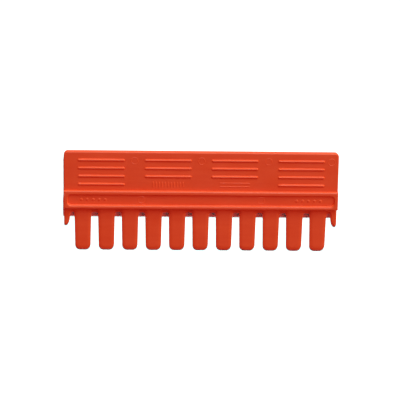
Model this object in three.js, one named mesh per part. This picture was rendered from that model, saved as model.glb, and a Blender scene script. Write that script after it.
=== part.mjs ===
// A moulded comb that casts eleven sample wells in a 0.75 mm thick slab gel.
// Millimetres. x runs along the row of teeth, y from the tooth tips up to the grip, z out of the flat back.
// The comb is a single moulding. It is modelled as its features, which meet face to face in one rigid piece.

import * as THREE from 'three';

// Whole comb
const WIDTH = 82.5; // slides between spacers that stand 83 mm apart
const HEIGHT = 30.25;
const BLADE_THICKNESS = 0.75; // the gap between the two glass plates
const GRIP_THICKNESS = 2.4;
const LEDGE_DEPTH = 3.6;

// Levels up the comb, from the tooth tips
const LEDGE_SEAT = 12.95; // this face stops on the top edge of the short glass plate
const LEDGE_TOP = 18.5;
const GAP_TOP = 11.4; // where the gaps between the teeth close
const GAP_FILLET = 0.6;
const ROOT_LINE = GAP_TOP - GAP_FILLET; // below this line each tooth is straight

// Teeth
const TOOTH_COUNT = 11;
const TOOTH_PITCH = 7.12;
const TOOTH_ROOT_WIDTH = 5.02;
const TOOTH_TIP_WIDTH = 4.64;
const TOOTH_TIP_RADIUS = 1.5;

// End tabs, which keep the row of teeth centred between the spacers
const TAB_ROOT_WIDTH = 1.85;
const TAB_NECK_WIDTH = 1.7;
const TAB_NECK_Y = 9.4;
const TAB_TIP_Y = 7.5;
const TAB_TIP_INSET = 0.55;
const TAB_OUTER_CORNER_Y = 8.05;

// Long recess along the front of the ledge, inside a raised rim
const RECESS_SIDE_WALL = 1.1;
const RECESS_BOTTOM = 14.05;
const RECESS_TOP = 17.5;

// Grip
const GRIP_CORNER = 1.2;
const RIB_LENGTH = 14;
const RIB_WIDTH = 0.7;
const RIB_HEIGHT = 0.5;
const RIB_TOP_ROW = 27.65;
const RIB_ROW_PITCH = 2.45;
const RIB_GROUP_PITCH = 20;
const RIB_ROWS = [4, 3, 3, 4]; // rows in each group, from left to right

const CURVE_SEGMENTS = 8;
const QUARTER = Math.PI / 2;
const HALF_WIDTH = WIDTH / 2;

const plastic = new THREE.MeshStandardMaterial({ color: 0xcc4125, roughness: 0.38, metalness: 0 });

function prism(shape, low, high) {
  const options = { depth: high - low, bevelEnabled: false, curveSegments: CURVE_SEGMENTS };
  return new THREE.ExtrudeGeometry(shape, options).translate(0, 0, low);
}

function rectangle(left, right, bottom, top) {
  const shape = new THREE.Shape();
  shape.moveTo(left, bottom);
  shape.lineTo(right, bottom);
  shape.lineTo(right, top);
  shape.lineTo(left, top);
  return shape;
}

// Flat plate that is held between finger and thumb, with its two upper corners rounded
function gripPlate() {
  const shape = new THREE.Shape();
  shape.moveTo(-HALF_WIDTH, LEDGE_TOP);
  shape.lineTo(HALF_WIDTH, LEDGE_TOP);
  shape.absarc(HALF_WIDTH - GRIP_CORNER, HEIGHT - GRIP_CORNER, GRIP_CORNER, 0, QUARTER);
  shape.absarc(GRIP_CORNER - HALF_WIDTH, HEIGHT - GRIP_CORNER, GRIP_CORNER, QUARTER, 2 * QUARTER);
  return prism(shape, 0, GRIP_THICKNESS);
}

// Bar that stands on the front of the blade sheet, up to the floor of the recess
function ledgeBar() {
  return prism(rectangle(-HALF_WIDTH, HALF_WIDTH, LEDGE_SEAT, LEDGE_TOP), BLADE_THICKNESS, GRIP_THICKNESS);
}

// One side of the raised rim round the recess
function ledgeRim(left, right, bottom, top) {
  return prism(rectangle(left, right, bottom, top), GRIP_THICKNESS, LEDGE_DEPTH);
}

function toothCentres() {
  const middle = (TOOTH_COUNT - 1) / 2;
  return Array.from({ length: TOOTH_COUNT }, (_, i) => (i - middle) * TOOTH_PITCH);
}

// Left and right edge, on the root line, of everything that hangs from the web
function rootSpans() {
  const half = TOOTH_ROOT_WIDTH / 2;
  const teeth = toothCentres().map((x) => [x - half, x + half]);
  const leftTab = [-HALF_WIDTH, TAB_ROOT_WIDTH - HALF_WIDTH];
  const rightTab = [HALF_WIDTH - TAB_ROOT_WIDTH, HALF_WIDTH];
  return [leftTab, ...teeth, rightTab];
}

// Thin sheet behind the ledge bar that joins the teeth, with the filleted top of every gap in its lower edge
function bladeWeb() {
  const spans = rootSpans();
  const shape = new THREE.Shape();
  shape.moveTo(HALF_WIDTH, LEDGE_TOP);
  shape.lineTo(-HALF_WIDTH, LEDGE_TOP);
  shape.lineTo(-HALF_WIDTH, ROOT_LINE);
  for (let i = 0; i + 1 < spans.length; i += 1) {
    const left = spans[i][1];
    const right = spans[i + 1][0];
    shape.lineTo(left, ROOT_LINE);
    shape.absarc(left + GAP_FILLET, ROOT_LINE, GAP_FILLET, 2 * QUARTER, QUARTER, true);
    shape.absarc(right - GAP_FILLET, ROOT_LINE, GAP_FILLET, QUARTER, 0, true);
  }
  shape.lineTo(HALF_WIDTH, ROOT_LINE);
  return prism(shape, 0, BLADE_THICKNESS);
}

// One tooth, slightly narrower at its round-cornered tip so that it draws out of the gel
function tooth(x) {
  const root = TOOTH_ROOT_WIDTH / 2;
  const tip = TOOTH_TIP_WIDTH / 2;
  const radius = TOOTH_TIP_RADIUS;
  const shape = new THREE.Shape();
  shape.moveTo(root, ROOT_LINE);
  shape.lineTo(-root, ROOT_LINE);
  shape.absarc(radius - tip, radius, radius, 2 * QUARTER, 3 * QUARTER);
  shape.absarc(tip - radius, radius, radius, 3 * QUARTER, 4 * QUARTER);
  return prism(shape, 0, BLADE_THICKNESS).translate(x, 0, 0);
}

// Short tab at one end of the row; side is -1 for the left end and 1 for the right
function endTab(side) {
  const outer = side * HALF_WIDTH;
  const innerRoot = side * (HALF_WIDTH - TAB_ROOT_WIDTH);
  const innerNeck = side * (HALF_WIDTH - TAB_NECK_WIDTH);
  const tip = side * (HALF_WIDTH - TAB_TIP_INSET);
  const shape = new THREE.Shape();
  shape.moveTo(innerRoot, ROOT_LINE);
  shape.lineTo(innerNeck, TAB_NECK_Y);
  shape.quadraticCurveTo(innerNeck + side * 0.35, TAB_TIP_Y + 0.1, tip, TAB_TIP_Y);
  shape.quadraticCurveTo(outer, TAB_TIP_Y, outer, TAB_OUTER_CORNER_Y);
  shape.lineTo(outer, ROOT_LINE);
  return prism(shape, 0, BLADE_THICKNESS);
}

// Half-round bar that stands on the front of the grip plate
function gripRib(x, y) {
  const section = new THREE.Shape();
  section.absellipse(0, 0, RIB_HEIGHT, RIB_WIDTH / 2, QUARTER, 3 * QUARTER);
  const options = { depth: RIB_LENGTH, bevelEnabled: false, curveSegments: CURVE_SEGMENTS };
  const bar = new THREE.ExtrudeGeometry(section, options);
  return bar.rotateY(QUARTER).translate(x - RIB_LENGTH / 2, y, GRIP_THICKNESS);
}

const comb = new THREE.Group();
comb.position.y = -HEIGHT / 2; // the origin is the middle of the back face

function add(name, geometry) {
  const mesh = new THREE.Mesh(geometry, plastic);
  mesh.name = name;
  comb.add(mesh);
}

add('grip_plate', gripPlate());
add('ledge_bar', ledgeBar());

const recessHalf = HALF_WIDTH - RECESS_SIDE_WALL;
add('ledge_rim_upper', ledgeRim(-HALF_WIDTH, HALF_WIDTH, RECESS_TOP, LEDGE_TOP));
add('ledge_rim_lower', ledgeRim(-HALF_WIDTH, HALF_WIDTH, LEDGE_SEAT, RECESS_BOTTOM));
add('ledge_rim_left', ledgeRim(-HALF_WIDTH, -recessHalf, RECESS_BOTTOM, RECESS_TOP));
add('ledge_rim_right', ledgeRim(recessHalf, HALF_WIDTH, RECESS_BOTTOM, RECESS_TOP));

add('blade_web', bladeWeb());

toothCentres().forEach((x, i) => {
  add(`tooth_${String(i + 1).padStart(2, '0')}`, tooth(x));
});

add('end_tab_left', endTab(-1));
add('end_tab_right', endTab(1));

RIB_ROWS.forEach((rows, group) => {
  const x = (group - (RIB_ROWS.length - 1) / 2) * RIB_GROUP_PITCH;
  for (let row = 0; row < rows; row += 1) {
    add(`grip_rib_${'abcd'[group]}${row + 1}`, gripRib(x, RIB_TOP_ROW - row * RIB_ROW_PITCH));
  }
});

const part = new THREE.Group();
part.add(comb);

export default part;
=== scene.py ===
"""A moulded gel comb lying on a white table.

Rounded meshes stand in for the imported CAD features, with their plastic, the lights and the camera.
"""

import math

import bmesh
import bpy
from mathutils import Matrix, Vector


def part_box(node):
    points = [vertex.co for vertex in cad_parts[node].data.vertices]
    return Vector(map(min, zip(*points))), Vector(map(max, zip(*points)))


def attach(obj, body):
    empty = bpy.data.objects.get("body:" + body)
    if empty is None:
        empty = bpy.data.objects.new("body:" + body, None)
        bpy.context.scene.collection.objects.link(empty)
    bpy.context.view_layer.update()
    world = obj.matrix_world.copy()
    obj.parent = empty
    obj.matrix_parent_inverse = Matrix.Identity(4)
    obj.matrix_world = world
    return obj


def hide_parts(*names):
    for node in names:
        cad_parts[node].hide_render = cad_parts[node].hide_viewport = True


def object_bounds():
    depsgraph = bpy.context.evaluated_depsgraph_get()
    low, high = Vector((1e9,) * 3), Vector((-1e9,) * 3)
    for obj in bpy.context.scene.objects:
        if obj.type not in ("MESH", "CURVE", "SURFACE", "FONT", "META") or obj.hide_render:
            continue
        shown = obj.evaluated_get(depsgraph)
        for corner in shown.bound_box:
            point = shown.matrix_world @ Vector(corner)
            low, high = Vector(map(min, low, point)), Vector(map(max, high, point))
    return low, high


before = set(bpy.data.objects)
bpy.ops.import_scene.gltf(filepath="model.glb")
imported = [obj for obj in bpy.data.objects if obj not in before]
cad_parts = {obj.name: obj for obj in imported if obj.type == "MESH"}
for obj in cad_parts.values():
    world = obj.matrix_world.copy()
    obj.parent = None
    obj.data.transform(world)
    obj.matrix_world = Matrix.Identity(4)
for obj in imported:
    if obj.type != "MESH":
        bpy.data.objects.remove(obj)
cad_low, cad_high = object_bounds()

MM = 0.001

# Sizes that the CAD boxes don't give, in millimetres. They are those of the CAD source, apart from
# the recess: its lower wall is 0.1 thinner here, its upper wall 0.2 thicker, and its corners are round.
GAP_FILLET = 0.6
TOOTH_TIP_WIDTH = 4.64
TOOTH_TIP_RADIUS = 1.5
TAB_NECK_INSET = 0.15
TAB_NECK_DROP = 1.4
TAB_TIP_INSET = 0.55
TAB_OUTER_CORNER = 0.55
TAB_CURVE_INSET = 0.35
TAB_CURVE_RISE = 0.1
RECESS_SIDE_WALL = 1.1
RECESS_BOTTOM_WALL = 1.0
RECESS_TOP_WALL = 1.2
RECESS_CORNER = 1.2
GRIP_CORNER = 1.2

# Radius that stands in for a square corner, so that every loop round the ledge has as many points
SHARP_CORNER = 0.02

# Low relief on the plate and the recess floor, in millimetres
MARK_HEIGHT = 0.14
MARK_ROW = 5.2
TICK_PITCH = 0.9
TICK_WIDTH = 0.34
TICK_LENGTH = 1.7
GAUGE_LENGTH = 9.0
RECESS_ROW = 0.45
PIP_COUNT = 5
PIP_MIDDLE = 32.4
PIP_PITCH = 1.8
PIP_SIZE = 0.9
PLATE_PINS = (-20.1, 0.0, 20.1, 39.0)
RECESS_PINS = (-18.0, 18.0)
PIN_ROW = 12.35
PIN_RADIUS = 1.0
PIN_LINE = 0.26
PIN_HEIGHT = 0.05
PIN_STEPS = 40
SINK = 0.05  # how far relief reaches down into the surface that it stands on

# Angles in radians across the section of an ejector ring, about an eighth of a turn apart
PIN_SECTION = (0, 0.8, 1.57, 2.34, 3.14)

# (how far in, how high) up the side of a mark, as shares of its height
MARK_PROFILE = ((0, 0.25), (0.25, 0.75), (0.8, 1.0))

# Section of a rib: its foot flares by a share of half its width, up to a share of its height
RIB_FLARE = 0.22
RIB_FOOT_INSET = 0.3
RIB_FOOT_HEIGHT = 0.05
RIB_FLARE_TOP = 0.16
RIB_STEPS = 8

# Rounding of the moulding's edges, in millimetres
GRIP_FRONT_ROUND = 0.45
GRIP_BACK_ROUND = 0.2
LEDGE_ROUND = 0.38
RIM_SLOPE = 1.5
LIP_SLOPE = 3.0
LIP_ROUND = 0.18
LEDGE_BLEND = 0.15  # height over which the ledge's corners turn from square to round
RECESS_DRAFT = 0.06
RECESS_FLOOR_ROUND = 0.1
RECESS_LEAST_CORNER = 0.2
BLADE_FRONT_ROUND = 0.16
BLADE_BACK_ROUND = 0.1
TOOTH_CROWN = 1.0
TAB_CROWN = 0.25
CROWN_DROP = 0.12
ROUND_STEPS = 6
CORNER_STEPS = 10
MARK_STEPS = 6
SMOOTH_LIMIT = 50  # degrees between two faces; a sharper edge is shaded as an edge

# Sides whose normals have a smaller cross product than this count as parallel
PARALLEL = 1e-4
# Points nearer to each other than this, in millimetres, count as one
SAME_POINT = 1e-6

# Plastic. Noise scales are per metre and bump depths are in metres.
PLASTIC_IOR = 1.5
PLASTIC_SPECULAR = 0.36
FLOW_DARK = (0.50, 0.034, 0.006)
FLOW_LIGHT = (0.57, 0.043, 0.009)
GLOSS_LOW = 0.34
GLOSS_HIGH = 0.50
FLOW_STRETCH = (60, 420, 420)
FLOW_START = 0.3
FLOW_END = 0.7
GRAIN_SCALE = 5200.0
GRAIN_BUMP = 0.12
GRAIN_DEPTH = 0.00004
WAVE_SCALE = 190.0
WAVE_BUMP = 0.14
WAVE_DEPTH = 0.0002

# Table, in metres
TABLE_COLOUR = (0.93, 0.93, 0.925, 1)
TABLE_ROUGHNESS = 0.7
TABLE_SPECULAR = 0.1
TABLE_RADIUS = 4.0
TABLE_SEGMENTS = 96
TABLE_GAP = 0.00002

# Soft boxes: direction, side in metres, power in watts
LIGHT_DISTANCE = 1.2
KEY_DIRECTION = (0.2, 0.86, 1.0)
KEY_SIZE = 1.0
KEY_POWER = 18.2
EDGE_DIRECTION = (0.1, 1.0, 0.09)
EDGE_SIZE = 0.2
EDGE_POWER = 24.0
SIDE_DIRECTION = (1.0, 0.1, 0.12)
SIDE_POWER = 16.0
FILL_DIRECTION = (0.3, 0.1, 1.0)
FILL_SIZE = 2.4
FILL_POWER = 1.0

# Parallel light on the table: direction, strength in watts per square metre, width in degrees
TABLE_DIRECTION = (0.12, 0.92, 1.0)
TABLE_STRENGTH = 6.6
TABLE_SOFTNESS = 5.0

# Faint light from all round: its level at the horizon, overhead, and how far up the change ends
HORIZON = (0.08, 0.08, 0.08)
ZENITH = (0.04, 0.04, 0.04)
ZENITH_START = 0.75

# Camera: metres, degrees, and millimetres for the sensor and the lens
CAMERA_DISTANCE = 0.45
CAMERA_AIM = (-0.000265, 0.000055, 0)
LEAN_UP = 12
LEAN_LEFT = 2
ROLL = 0.862
SENSOR_WIDTH = 36
FOCAL_LENGTH = 133.9
CLIP_START = 0.01
CLIP_END = 20

# (scene level, level shown) of the camera's red channel
RED_RESPONSE = (
    (0.06, 0.12),
    (0.12, 0.32),
    (0.24, 0.43),
    (0.40, 0.51),
    (0.60, 0.60),
    (1.0, 0.80),
    (1.4, 1.0),
)


def box_mm(node):
    low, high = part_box(node)
    return low / MM, high / MM


# ---------------------------------------------------------------- outlines

def arc(centre, radius, start, end, steps=CORNER_STEPS):
    """Points on an arc, with both ends. Angles are in degrees."""
    points = []
    for i in range(steps + 1):
        a = math.radians(start + (end - start) * i / steps)
        points.append((centre[0] + radius * math.cos(a), centre[1] + radius * math.sin(a)))
    return points


def bezier(start, control, end, steps=CORNER_STEPS):
    """Points on a quadratic curve, without its first end."""
    points = []
    for i in range(1, steps + 1):
        t = i / steps
        a, b, c = (1 - t) ** 2, 2 * t * (1 - t), t * t
        points.append(tuple(a * s + b * k + c * e for s, k, e in zip(start, control, end)))
    return points


def inward(p, q):
    """Unit normal of the side from p to q that points into an anticlockwise outline."""
    dx, dy = q[0] - p[0], q[1] - p[1]
    length = math.hypot(dx, dy)
    return -dy / length, dx / length


def offset(points, distances):
    """Moves each side of a closed outline inwards by its own distance.

    Side i runs from point i to the next one.
    """
    moved = []
    count = len(points)
    for i, p in enumerate(points):
        n0 = inward(points[i - 1], p)
        n1 = inward(p, points[(i + 1) % count])
        d0, d1 = distances[i - 1], distances[i]
        det = n0[0] * n1[1] - n0[1] * n1[0]
        if abs(det) < PARALLEL:
            v = ((d0 * n0[0] + d1 * n1[0]) / 2, (d0 * n0[1] + d1 * n1[1]) / 2)
        else:
            v = ((d0 * n1[1] - d1 * n0[1]) / det, (d1 * n0[0] - d0 * n1[0]) / det)
        moved.append((p[0] + v[0], p[1] + v[1]))
    return moved


# ------------------------------------------------------------------ meshes

def finish_piece(name, bm, *replaced):
    """Turns a bmesh in millimetres into a smooth-shaded piece in metres that rides on the comb."""
    bmesh.ops.recalc_face_normals(bm, faces=bm.faces)
    bmesh.ops.scale(bm, vec=(MM, MM, MM), verts=bm.verts)
    mesh = bpy.data.meshes.new(name)
    bm.to_mesh(mesh)
    bm.free()
    mesh.shade_smooth()
    mesh.set_sharp_from_angle(angle=math.radians(SMOOTH_LIMIT))
    piece = bpy.data.objects.new(name, mesh)
    bpy.context.scene.collection.objects.link(piece)
    weighted = piece.modifiers.new("flat_faces_stay_flat", "WEIGHTED_NORMAL")
    weighted.keep_sharp = True
    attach(piece, "root")
    if replaced:
        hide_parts(*replaced)
    piece.data.materials.append(plastic)
    pieces.append(piece)


def skin(bm, rings):
    """Closed body through loops of equal length, with a face at each end."""
    loops = [[bm.verts.new(p) for p in ring] for ring in rings]
    for low, high in zip(loops, loops[1:]):
        for i in range(len(low)):
            j = (i + 1) % len(low)
            bm.faces.new((low[i], low[j], high[j], high[i]))
    bm.faces.new(list(reversed(loops[0])))
    bm.faces.new(loops[-1])


def quarter_round(radius):
    """(how far in, how far below the top) along a quarter circle, from the side up to the top face."""
    turn = [math.pi / 2 * i / ROUND_STEPS for i in range(ROUND_STEPS + 1)]
    return [(radius * (1 - math.cos(a)), radius * (1 - math.sin(a))) for a in turn]


def slab_profile(thickness, front_round, back_round, crown_drop=0):
    """(inset, share of the crown's width, height) from the back face to the front face."""
    back = [(inset, 0, drop) for inset, drop in reversed(quarter_round(back_round))]
    shoulder = thickness - crown_drop
    front = [(inset, 0, shoulder - drop) for inset, drop in quarter_round(front_round)]
    if not crown_drop:
        return back + front
    shares = [(i + 1) / ROUND_STEPS for i in range(ROUND_STEPS)]
    slope = [(front_round, t, thickness - crown_drop * (1 - t) ** 2) for t in shares]
    return back + front + slope


def crown_width(x):
    """Width of the gentle slope along a blade edge: wide on the teeth, narrow on the slim end tabs."""
    inner = box_mm(tabs[1])[0].x
    outer = box_mm(teeth[-1])[1].x
    t = min(max((abs(x) - outer) / (inner - outer), 0), 1)
    return TOOTH_CROWN + (TAB_CROWN - TOOTH_CROWN) * t


def slab(name, runs, profile, *replaced):
    """Flat moulded piece. Each run of points is a rounded edge.

    The straight side from a run to the next one is a plain cut.
    """
    outline = [p for run in runs for p in run]
    free = [i + 1 < len(run) for run in runs for i in range(len(run))]
    crowns = []
    for i, p in enumerate(outline):
        q = outline[(i + 1) % len(outline)]
        crowns.append(crown_width((p[0] + q[0]) / 2))
    rings = []
    for inset, share, z in profile:
        distances = [inset + share * crown if is_free else 0 for crown, is_free in zip(crowns, free)]
        loop = offset(outline, distances)
        rings.append([(x, y, z) for x, y in loop])
    bm = bmesh.new()
    skin(bm, rings)
    finish_piece(name, bm, *replaced)


# --------------------------------------------------------------- materials

def node(tree, kind, **values):
    """New shader node whose named inputs have the given values."""
    made = tree.nodes.new(kind)
    for key, value in values.items():
        made.inputs[key].default_value = value
    return made


def moulded_plastic():
    """Orange-red moulded plastic: faint flow streaks, mottled gloss, a fine grain and a slight waviness."""
    material = bpy.data.materials.new("moulded_orange_plastic")
    material.use_nodes = True
    tree = material.node_tree
    link = tree.links.new
    shader = tree.nodes["Principled BSDF"]
    shader.inputs["IOR"].default_value = PLASTIC_IOR
    shader.inputs["Specular IOR Level"].default_value = PLASTIC_SPECULAR

    place = node(tree, "ShaderNodeTexCoord")

    stretch = node(tree, "ShaderNodeMapping", Scale=FLOW_STRETCH)
    link(place.outputs["Object"], stretch.inputs["Vector"])
    flow = node(tree, "ShaderNodeTexNoise", Scale=1.0, Detail=4.0, Roughness=0.6)
    link(stretch.outputs["Vector"], flow.inputs["Vector"])
    grain = node(tree, "ShaderNodeTexNoise", Scale=GRAIN_SCALE, Detail=2.0, Roughness=0.5)
    link(place.outputs["Object"], grain.inputs["Vector"])
    wave = node(tree, "ShaderNodeTexNoise", Scale=WAVE_SCALE, Detail=1.0, Roughness=0.4)
    link(place.outputs["Object"], wave.inputs["Vector"])

    colour = node(tree, "ShaderNodeValToRGB")
    colour.color_ramp.elements[0].position = FLOW_START
    colour.color_ramp.elements[0].color = (*FLOW_DARK, 1)
    colour.color_ramp.elements[1].position = FLOW_END
    colour.color_ramp.elements[1].color = (*FLOW_LIGHT, 1)
    link(flow.outputs["Fac"], colour.inputs["Fac"])
    link(colour.outputs["Color"], shader.inputs["Base Color"])

    gloss = node(tree, "ShaderNodeMapRange")
    gloss.inputs["To Min"].default_value = GLOSS_LOW
    gloss.inputs["To Max"].default_value = GLOSS_HIGH
    link(wave.outputs["Fac"], gloss.inputs["Value"])
    link(gloss.outputs["Result"], shader.inputs["Roughness"])

    waviness = node(tree, "ShaderNodeBump", Strength=WAVE_BUMP, Distance=WAVE_DEPTH)
    link(wave.outputs["Fac"], waviness.inputs["Height"])
    texture = node(tree, "ShaderNodeBump", Strength=GRAIN_BUMP, Distance=GRAIN_DEPTH)
    link(grain.outputs["Fac"], texture.inputs["Height"])
    link(waviness.outputs["Normal"], texture.inputs["Normal"])
    link(texture.outputs["Normal"], shader.inputs["Normal"])
    return material


def white_table():
    material = bpy.data.materials.new("white_table")
    material.use_nodes = True
    shader = material.node_tree.nodes["Principled BSDF"]
    shader.inputs["Base Color"].default_value = TABLE_COLOUR
    shader.inputs["Roughness"].default_value = TABLE_ROUGHNESS
    shader.inputs["Specular IOR Level"].default_value = TABLE_SPECULAR
    return material


plastic = moulded_plastic()
pieces = []


# ------------------------------------------------------------------ pieces

blade_thickness = box_mm("blade_web")[1].z
blade = slab_profile(blade_thickness, BLADE_FRONT_ROUND, BLADE_BACK_ROUND, CROWN_DROP)
teeth = sorted(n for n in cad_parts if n.startswith("tooth_"))
tabs = ["end_tab_left", "end_tab_right"]
rims = sorted(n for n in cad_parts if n.startswith("ledge_rim_"))
ribs = sorted(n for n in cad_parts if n.startswith("grip_rib_"))


def grip_plate():
    low, high = box_mm("grip_plate")
    right, left = high.x - GRIP_CORNER, low.x + GRIP_CORNER
    top = high.y - GRIP_CORNER
    edge = [(high.x, low.y)]
    edge += arc((right, top), GRIP_CORNER, 0, 90)
    edge += arc((left, top), GRIP_CORNER, 90, 180)
    edge += [(low.x, low.y)]
    profile = slab_profile(high.z, GRIP_FRONT_ROUND, GRIP_BACK_ROUND)
    slab("grip_plate_moulding", [edge], profile, "grip_plate")


def rounded_box(low_x, high_x, low_y, high_y, low_radius, high_radius, z):
    """Loop round a rectangle whose lower and upper corners may have different radii."""
    loop = arc((high_x - low_radius, low_y + low_radius), low_radius, -90, 0)
    loop += arc((high_x - high_radius, high_y - high_radius), high_radius, 0, 90)
    loop += arc((low_x + high_radius, high_y - high_radius), high_radius, 90, 180)
    loop += arc((low_x + low_radius, low_y + low_radius), low_radius, 180, 270)
    return [(x, y, z) for x, y in loop]


def ledge_bar():
    """Thick bar with a long recess. Its corners are square where the plate and the blade run on flush."""
    low, grip_top = box_mm("ledge_bar")[0], box_mm("ledge_bar")[1].z
    high = box_mm("ledge_rim_upper")[1]
    corner = LEDGE_ROUND

    def outer(inset_x, inset_y, z, slope=1):
        low_r = SHARP_CORNER if z <= blade_thickness else corner - min(inset_x, corner - SHARP_CORNER)
        high_r = SHARP_CORNER if z <= grip_top else corner - min(inset_x, corner - SHARP_CORNER)
        return rounded_box(
            low.x + inset_x, high.x - inset_x, low.y + inset_y, high.y - slope * inset_y, low_r, high_r, z
        )

    rings = [outer(inset, 0, drop) for inset, drop in reversed(quarter_round(GRIP_BACK_ROUND))]
    for z in (blade_thickness, grip_top):
        rings += [outer(0, 0, z), outer(0, 0, z + LEDGE_BLEND)]
    rings += [outer(inset, inset, high.z - drop, RIM_SLOPE) for inset, drop in quarter_round(LEDGE_ROUND)]

    left, right = low.x + RECESS_SIDE_WALL, high.x - RECESS_SIDE_WALL
    bottom, top = low.y + RECESS_BOTTOM_WALL, high.y - RECESS_TOP_WALL

    def inner(inset, z, slope=1):
        radius = max(RECESS_CORNER - inset, RECESS_LEAST_CORNER)
        return rounded_box(
            left + inset, right - inset, bottom + slope * inset, top - inset, radius, radius, z
        )

    rings += [inner(-drop, high.z - inset, LIP_SLOPE) for inset, drop in quarter_round(LIP_ROUND)]
    rings += [inner(RECESS_DRAFT, grip_top + RECESS_FLOOR_ROUND)]
    for inset, drop in quarter_round(RECESS_FLOOR_ROUND)[1:]:
        rings.append(inner(RECESS_DRAFT + inset, grip_top + drop))
    bm = bmesh.new()
    skin(bm, rings)
    finish_piece("ledge_bar_moulding", bm, "ledge_bar", *rims)


def blade_web():
    low, high = box_mm("blade_web")
    seat = box_mm("ledge_bar")[0].y
    hanging = [tabs[0], *teeth, tabs[1]]
    spans = [box_mm(n) for n in hanging]
    runs = [[(low.x, seat), (low.x, low.y)]]
    for (_, left_high), (right_low, _) in zip(spans, spans[1:]):
        left, right = left_high.x, right_low.x
        run = arc((left + GAP_FILLET, low.y), GAP_FILLET, 180, 90)
        run += arc((right - GAP_FILLET, low.y), GAP_FILLET, 90, 0)
        runs.append(run)
    runs.append([(high.x, low.y), (high.x, seat)])
    slab("blade_web_moulding", runs, blade, "blade_web")


def tooth(name):
    low, high = box_mm(name)
    middle = (low.x + high.x) / 2
    tip = TOOTH_TIP_WIDTH / 2
    radius = TOOTH_TIP_RADIUS
    edge = [(low.x, high.y)]
    edge += arc((middle - tip + radius, low.y + radius), radius, 180, 270)
    edge += arc((middle + tip - radius, low.y + radius), radius, 270, 360)
    edge += [(high.x, high.y)]
    slab(f"{name}_moulding", [edge], blade, name)


def end_tab(name):
    low, high = box_mm(name)
    width = high.x - low.x
    side = -1 if name.endswith("left") else 1
    inner_root = (0, high.y)
    inner_neck = (TAB_NECK_INSET, high.y - TAB_NECK_DROP)
    tip = (width - TAB_TIP_INSET, low.y)
    outer = (width, low.y + TAB_OUTER_CORNER)
    edge = [inner_root, inner_neck]
    bend = (TAB_NECK_INSET + TAB_CURVE_INSET, low.y + TAB_CURVE_RISE)
    edge += bezier(inner_neck, bend, tip)
    edge += bezier(tip, (width, low.y), outer)
    edge += [(width, high.y)]
    if side > 0:
        edge = [(low.x + x, y) for x, y in edge]
    else:
        edge = [(high.x - x, y) for x, y in reversed(edge)]
    slab(f"{name}_moulding", [edge], blade, name)


def ridge(bm, centre, length, width, height, base):
    """Low bar with a rounded section and round ends, flared where it meets the surface."""
    half, reach = width / 2, length / 2 - width / 2
    outline = arc((centre[0] + reach, centre[1]), half, -90, 90, RIB_STEPS)
    outline += arc((centre[0] - reach, centre[1]), half, 90, 270, RIB_STEPS)
    flare = RIB_FLARE * half
    sections = [
        (-flare, -SINK),
        (-flare, 0),
        (-RIB_FOOT_INSET * flare, RIB_FOOT_HEIGHT * height),
        (0, RIB_FLARE_TOP * height),
    ]
    for i in range(1, RIB_STEPS):
        a = math.pi / 2 * i / RIB_STEPS
        share = RIB_FLARE_TOP + (1 - RIB_FLARE_TOP) * math.sin(a)
        sections.append((half * (1 - math.cos(a)), height * share))
    rings = []
    for inset, z in sections:
        loop = offset(outline, [inset] * len(outline))
        rings.append([(x, y, base + z) for x, y in loop])
    skin(bm, rings)


def grip_rib(name):
    low, high = box_mm(name)
    middle = ((low.x + high.x) / 2, (low.y + high.y) / 2)
    bm = bmesh.new()
    ridge(bm, middle, high.x - low.x, high.y - low.y, high.z - low.z, low.z)
    finish_piece(f"{name}_moulding", bm, name)


def stadium(centre, length_x, length_y):
    """Outline of a small bar with round ends, along its longer side. Equal lengths make a circle."""
    radius = min(length_x, length_y) / 2
    x, y = length_x / 2 - radius, length_y / 2 - radius
    loop = []
    for sign_x, sign_y, start in ((1, -1, -90), (1, 1, 0), (-1, 1, 90), (-1, -1, 180)):
        corner = (centre[0] + sign_x * x, centre[1] + sign_y * y)
        loop += arc(corner, radius, start, start + 90, MARK_STEPS)
    return [p for i, p in enumerate(loop) if math.dist(p, loop[i - 1]) > SAME_POINT]


def pad(bm, outline, height, base):
    """Low raised shape with softened edges, let into the surface that it stands on."""
    sections = [(0, -SINK)]
    sections += [(inset * height, z * height) for inset, z in MARK_PROFILE]
    rings = []
    for inset, z in sections:
        rings.append([(x, y, base + z) for x, y in offset(outline, [inset] * len(outline))])
    skin(bm, rings)


def ring(bm, centre, radius, width, height, base):
    """Closed ring with a low round section, such as the trace that an ejector pin leaves."""
    section = [(radius - width / 2, -SINK)]
    section += [(radius - width / 2 * math.cos(a), height * math.sin(a)) for a in PIN_SECTION]
    section += [(radius + width / 2, -SINK)]
    turns = [2 * math.pi * i / PIN_STEPS for i in range(PIN_STEPS)]
    loops = []
    for r, z in section:
        points = [(centre[0] + r * math.cos(a), centre[1] + r * math.sin(a), base + z) for a in turns]
        loops.append([bm.verts.new(p) for p in points])
    for low, high in zip(loops, loops[1:] + loops[:1]):
        for i in range(PIN_STEPS):
            j = (i + 1) % PIN_STEPS
            bm.faces.new((low[i], low[j], high[j], high[i]))


def tally_marks():
    """One short tick for each tooth, under the inner left ribs, in place of lettering."""
    low, high = box_mm("grip_rib_b3")
    middle = (low.x + high.x) / 2
    bm = bmesh.new()
    for i in range(len(teeth)):
        x = middle + (i - (len(teeth) - 1) / 2) * TICK_PITCH
        pad(bm, stadium((x, MARK_ROW), TICK_WIDTH, TICK_LENGTH), MARK_HEIGHT, low.z)
    finish_piece("tally_marks", bm)


def gauge_marks():
    """Two long thin bars a blade's thickness apart, under the inner right ribs, in place of lettering."""
    low, high = box_mm("grip_rib_c3")
    middle = (low.x + high.x) / 2
    bm = bmesh.new()
    for side in (-1, 1):
        y = MARK_ROW + side * (blade_thickness + TICK_WIDTH) / 2
        pad(bm, stadium((middle, y), GAUGE_LENGTH, TICK_WIDTH), MARK_HEIGHT, low.z)
    finish_piece("gauge_marks", bm)


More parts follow.
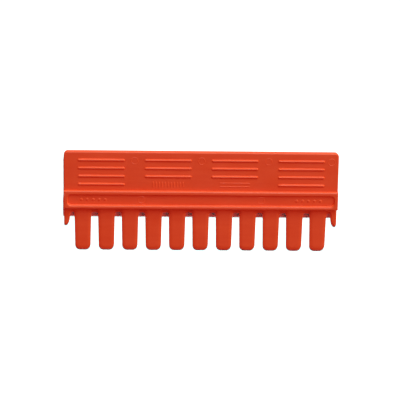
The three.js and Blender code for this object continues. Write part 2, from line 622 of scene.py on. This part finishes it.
def recess_pips():
    """Row of small round pips at each end of the recess, in place of lettering."""
    floor = box_mm("ledge_bar")[1].z
    bm = bmesh.new()
    for side in (-1, 1):
        for i in range(PIP_COUNT):
            x = side * PIP_MIDDLE + (i - (PIP_COUNT - 1) / 2) * PIP_PITCH
            pad(bm, stadium((x, RECESS_ROW), PIP_SIZE, PIP_SIZE), MARK_HEIGHT, floor)
    finish_piece("recess_pips", bm)


def ejector_traces():
    """Faint rings that the mould's ejector pins leave on the plate and on the recess floor."""
    surface = box_mm("grip_plate")[1].z
    bm = bmesh.new()
    for x in PLATE_PINS:
        ring(bm, (x, PIN_ROW), PIN_RADIUS, PIN_LINE, PIN_HEIGHT, surface)
    for x in RECESS_PINS:
        ring(bm, (x, RECESS_ROW), PIN_RADIUS, PIN_LINE, PIN_HEIGHT, surface)
    finish_piece("ejector_traces", bm)


grip_plate()
ledge_bar()
blade_web()
for name in teeth:
    tooth(name)
for name in tabs:
    end_tab(name)
for name in ribs:
    grip_rib(name)
tally_marks()
gauge_marks()
recess_pips()
ejector_traces()


# ------------------------------------------------------- table, light, view

def table():
    mesh = bpy.data.meshes.new("table")
    bm = bmesh.new()
    bmesh.ops.create_circle(bm, cap_ends=True, segments=TABLE_SEGMENTS, radius=TABLE_RADIUS)
    bm.to_mesh(mesh)
    bm.free()
    made = bpy.data.objects.new("table", mesh)
    made.location.z = cad_low.z - TABLE_GAP
    made.visible_glossy = False
    mesh.materials.append(white_table())
    bpy.context.scene.collection.objects.link(made)


def area_light(name, direction, size, power, lit):
    """Square soft box that looks at the middle of the comb and lights one group of objects."""
    data = bpy.data.lights.new(name, "AREA")
    data.shape = "SQUARE"
    data.size = size
    data.energy = power
    made = bpy.data.objects.new(name, data)
    towards = Vector(direction).normalized()
    made.location = towards * LIGHT_DISTANCE
    made.rotation_euler = towards.to_track_quat("Z", "Y").to_euler()
    made.light_linking.receiver_collection = lit
    bpy.context.scene.collection.objects.link(made)
    return made


def table_light(lit):
    """Evenly bright, so the table stays white out to its rim."""
    data = bpy.data.lights.new("table_light", "SUN")
    data.energy = TABLE_STRENGTH
    data.angle = math.radians(TABLE_SOFTNESS)
    made = bpy.data.objects.new("table_light", data)
    made.rotation_euler = Vector(TABLE_DIRECTION).to_track_quat("Z", "Y").to_euler()
    made.light_linking.receiver_collection = lit
    bpy.context.scene.collection.objects.link(made)


def group_of(name, objects):
    group = bpy.data.collections.new(name)
    for member in objects:
        group.objects.link(member)
    return group


def surroundings():
    """Faint grey light from all round, a little stronger near the horizon than overhead."""
    world = bpy.data.worlds.new("light_tent")
    bpy.context.scene.world = world
    world.use_nodes = True
    tree = world.node_tree
    place = node(tree, "ShaderNodeTexCoord")
    split = node(tree, "ShaderNodeSeparateXYZ")
    ramp = node(tree, "ShaderNodeValToRGB")
    ramp.color_ramp.elements[0].position = 0.0
    ramp.color_ramp.elements[0].color = (*HORIZON, 1)
    ramp.color_ramp.elements[1].position = ZENITH_START
    ramp.color_ramp.elements[1].color = (*ZENITH, 1)
    tree.links.new(place.outputs["Generated"], split.inputs["Vector"])
    tree.links.new(split.outputs["Z"], ramp.inputs["Fac"])
    tree.links.new(ramp.outputs["Color"], tree.nodes["Background"].inputs["Color"])


def studio_light():
    """A wide soft box above the grip, two low ones for the edges, an overhead fill, and the table's light.

    The low ones cast no shadow, and they and the fill leave no reflection. Only the last lights the table.
    """
    comb = group_of("comb", pieces)
    stage = group_of("stage", [bpy.data.objects["table"]])
    area_light("key", KEY_DIRECTION, KEY_SIZE, KEY_POWER, comb)
    low_lights = (
        ("edge_light", EDGE_DIRECTION, EDGE_POWER),
        ("side_light", SIDE_DIRECTION, SIDE_POWER),
    )
    for name, direction, power in low_lights:
        low_light = area_light(name, direction, EDGE_SIZE, power, comb)
        low_light.visible_glossy = False
        low_light.data.use_shadow = False
    fill = area_light("fill", FILL_DIRECTION, FILL_SIZE, FILL_POWER, comb)
    fill.visible_glossy = False
    table_light(stage)


def camera():
    """Long lens almost straight above the comb, leaning towards the grip and a little to the left."""
    lean_up = math.radians(LEAN_UP)
    lean_left = math.radians(LEAN_LEFT)
    roll = math.radians(ROLL)
    back = Vector((
        -math.sin(lean_left),
        math.sin(lean_up) * math.cos(lean_left),
        math.cos(lean_up) * math.cos(lean_left),
    ))
    right = Vector((0, 1, 0)).cross(back).normalized()
    up = back.cross(right)
    across = right * math.cos(roll) + up * math.sin(roll)
    upright = up * math.cos(roll) - right * math.sin(roll)
    data = bpy.data.cameras.new("camera")
    data.sensor_width = SENSOR_WIDTH
    data.lens = FOCAL_LENGTH
    data.clip_start = CLIP_START
    data.clip_end = CLIP_END
    made = bpy.data.objects.new("camera", data)
    place = Matrix((across, upright, back)).transposed().to_4x4()
    place.translation = Vector(CAMERA_AIM) + back * CAMERA_DISTANCE
    made.matrix_world = place
    bpy.context.scene.collection.objects.link(made)
    bpy.context.scene.camera = made


def camera_response():
    """Plain display transform with a curve on red, which lifts deep reds and holds back bright ones."""
    view = bpy.context.scene.view_settings
    view.view_transform = "Standard"
    view.use_curve_mapping = True
    mapping = view.curve_mapping
    mapping.use_clip = False
    red = mapping.curves[0]
    red.points[-1].location = RED_RESPONSE[-1]
    for level, shown in RED_RESPONSE[:-1]:
        red.points.new(level, shown)
    mapping.update()


table()
surroundings()
studio_light()
camera()
camera_response()
